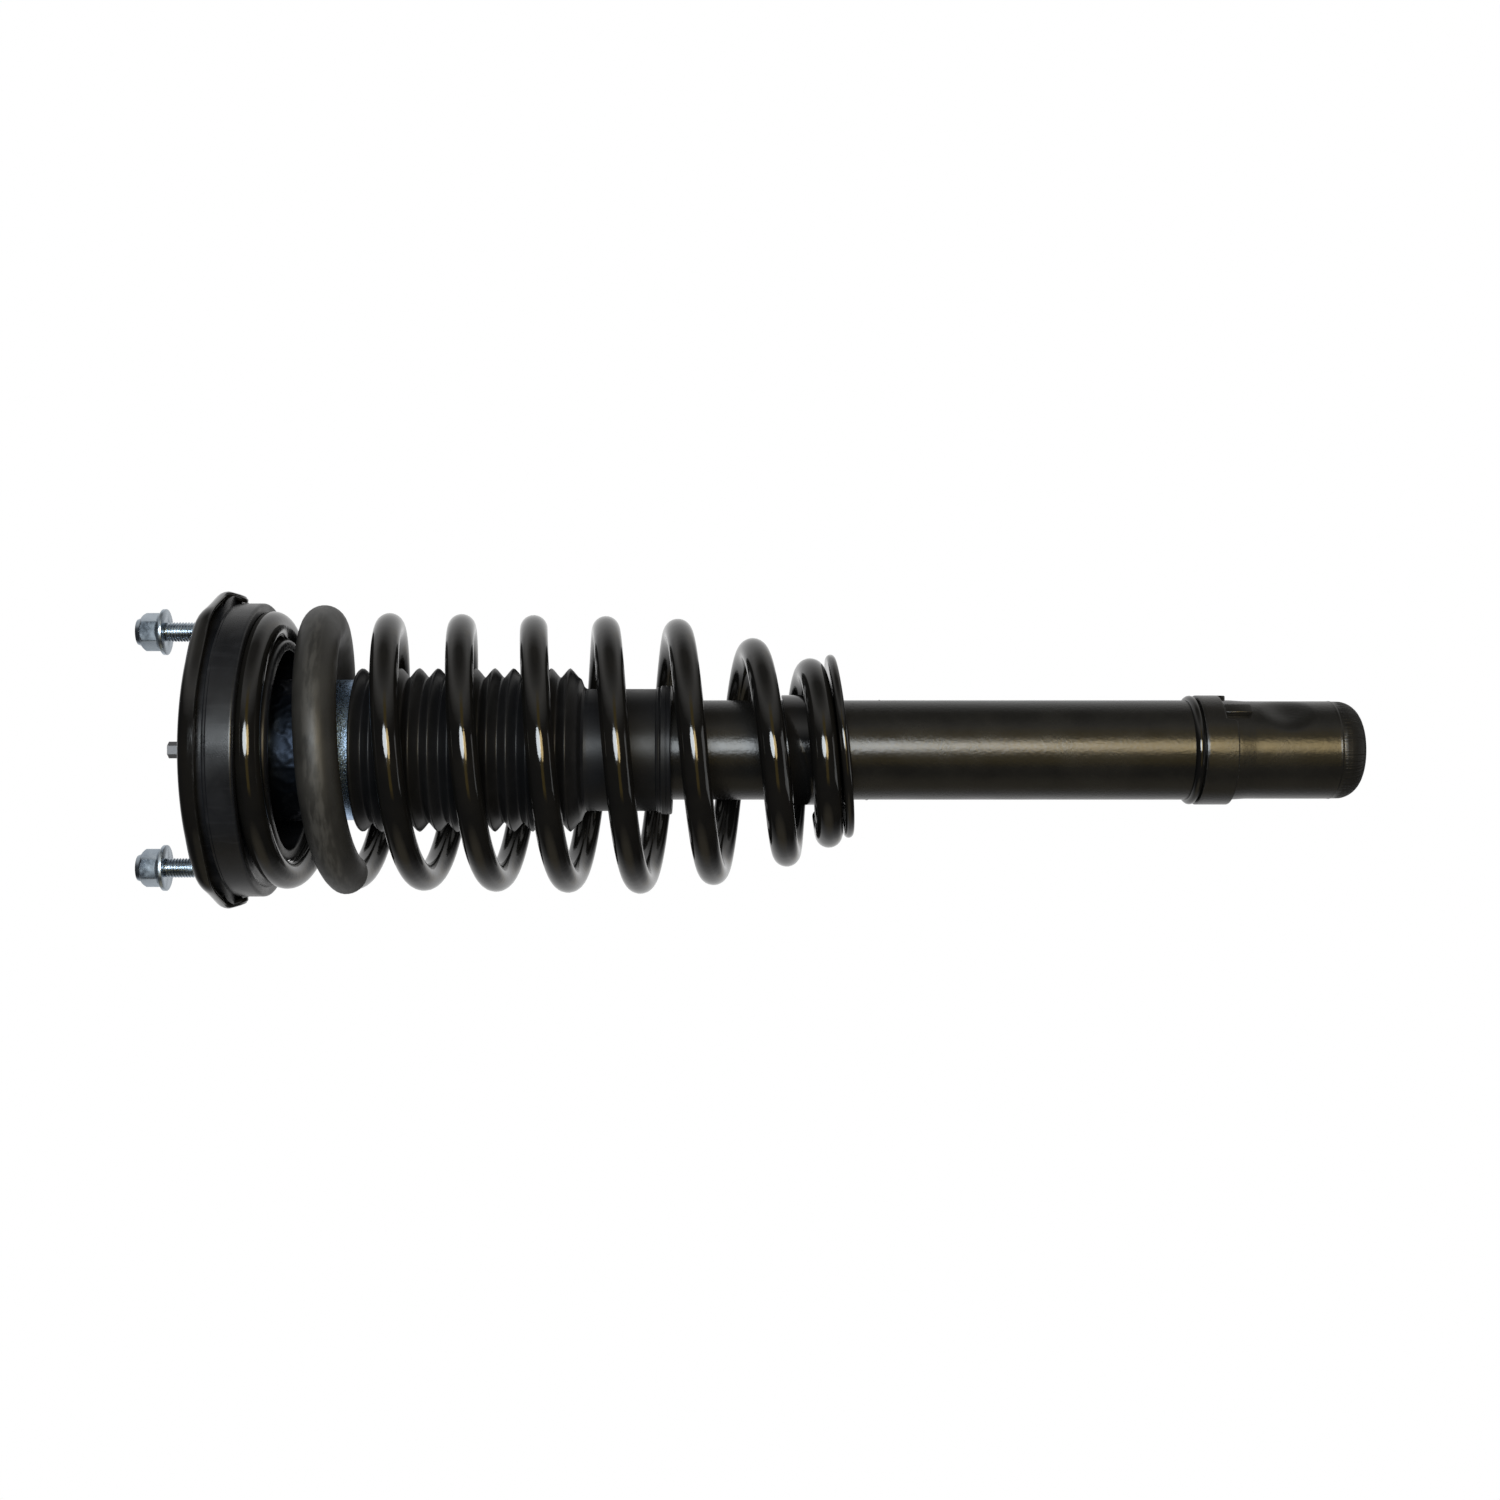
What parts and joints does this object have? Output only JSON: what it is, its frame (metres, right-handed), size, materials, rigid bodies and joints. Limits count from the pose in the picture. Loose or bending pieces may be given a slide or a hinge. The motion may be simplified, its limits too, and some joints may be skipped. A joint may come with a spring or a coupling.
{
  "type": "suspension strut assembly",
  "caption": "Complete suspension strut: top mount with studs, coil spring with tapered lower end, ribbed dust boot and a damper tube for a pinch clamp.",
  "frame": {"origin": "centre of the stud circle, on the mount plate's top face", "axes": "+Z along the damper axis towards the top mount's studs, X through the two studs, the locating tab is on the +X, -Y side of the tube"},
  "size_m": [0.1612, 0.152, 0.6247],
  "materials": {
    "gloss_black_paint": "gloss",
    "satin_black_paint": "satin, fine orange peel",
    "zinc_plate": "bright zinc plate",
    "galvanised_steel": "galvanised, spangled",
    "black_rubber": "moulded",
    "hose_rubber": "matte, scuffed",
    "boot_elastomer": "matte",
    "foam_elastomer": "closed-cell foam",
    "hard_chrome": "ground and polished",
    "plain_steel": "drawn",
    "sintered_iron": "sintered",
    "bronze": "bushing bronze",
    "filled_ptfe": "moulded band"
  },
  "bodies": {
    "top_mount": {"mount_plate": "gloss_black_paint", "mount_studs": "zinc_plate", "flange_nuts": "zinc_plate", "mount_cup": "galvanised_steel", "mount_rubber": "black_rubber", "inner_sleeve": "plain_steel", "upper_washer": "zinc_plate", "lower_washer": "zinc_plate", "rod_nut": "zinc_plate", "upper_spring_pad": "black_rubber", "coil_spring": "gloss_black_paint", "spring_hose": "hose_rubber", "bump_stop_seat": "plain_steel", "bump_stop": "foam_elastomer", "dust_boot": "boot_elastomer", "piston_rod": "hard_chrome", "rebound_stop": "plain_steel", "piston": "sintered_iron", "piston_band": "filled_ptfe", "compression_discs": "plain_steel", "rebound_discs": "plain_steel", "piston_nut": "plain_steel"},
    "damper_tube": {"outer_tube": "satin_black_paint", "pressure_tube": "plain_steel", "rod_guide": "sintered_iron", "guide_bush": "bronze", "rod_seal": "black_rubber", "striker_cap": "plain_steel", "base_valve_body": "sintered_iron", "base_valve_discs": "plain_steel", "base_valve_rivet": "plain_steel", "spring_perch": "gloss_black_paint", "perch_weld_bead": "gloss_black_paint", "locating_collar": "satin_black_paint", "collar_weld_bead": "gloss_black_paint", "locating_tab": "satin_black_paint"}
  },
  "joints": [
    {"name": "strut_stroke", "type": "slide", "parent": "top_mount", "child": "damper_tube", "axis": [0, 0, 1], "range_m": [0, 0.1], "stiffness_N_per_m": 30000, "deforming": ["coil_spring", "spring_hose", "dust_boot"]}
  ]
}
